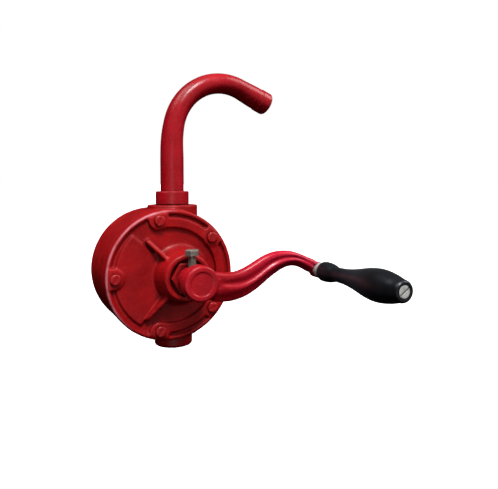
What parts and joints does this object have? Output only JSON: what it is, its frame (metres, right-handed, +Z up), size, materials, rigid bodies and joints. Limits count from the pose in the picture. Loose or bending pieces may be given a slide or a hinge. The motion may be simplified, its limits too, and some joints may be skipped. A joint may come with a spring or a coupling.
{
  "type": "rotary hand transfer pump",
  "caption": "Red rotary hand pump: round cast body with bolted cover, gooseneck spout on top, suction port below and a curved crank with a black grip.",
  "frame": {"origin": "centre of the suction port's mouth, on the port axis", "axes": "+Z up along the port axis towards the spout, -Y out of the cover towards the crank and grip, +X towards the side the spout and the crank point to"},
  "size_m": [0.2354, 0.297, 0.3204],
  "materials": {
    "cast_red": "gloss red enamel over rough cast iron",
    "tube_red": "gloss red enamel over drawn steel tube",
    "crank_red": "gloss red enamel over a cast arm",
    "screw_red": "screws painted over with the cover",
    "zinc": "zinc plated steel, slightly greenish",
    "steel": "plain turned steel",
    "spring_steel": "drawn spring wire",
    "iron": "machined cast iron",
    "bronze": "turned bearing bronze",
    "packing": "greased braided packing",
    "gasket": "pressed fibre sheet",
    "grip_black": "black moulded plastic, satin gloss"
  },
  "bodies": {
    "pump": {"pump_body": "cast_red", "front_cover": "cast_red", "cover_gasket": "gasket", "cover_screws": "screw_red", "spout_tube": "tube_red", "spout_collar": "cast_red", "collar_seal": "gasket", "rear_bush": "bronze", "front_bush": "bronze", "packing_rings": "packing", "gland_nut": "cast_red"},
    "crank": {"pump_shaft": "steel", "rotor_key": "steel", "rotor": "iron", "vane_upper": "bronze", "vane_lower": "bronze", "vane_springs": "spring_steel", "crank_arm": "crank_red", "crank_set_bolt": "zinc", "grip_spindle": "zinc", "grip_washer": "zinc"},
    "grip": {"handle_grip": "grip_black"}
  },
  "joints": [
    {"name": "crank_spin", "type": "hinge", "parent": "pump", "child": "crank", "pos_m": [-0.0065, -0.046, 0.0885], "axis": [0, 1, 0], "continuous": true},
    {"name": "grip_spin", "type": "hinge", "parent": "crank", "child": "grip", "pos_m": [0.1315, -0.18, 0.0924], "axis": [0, 1, 0], "continuous": true}
  ]
}
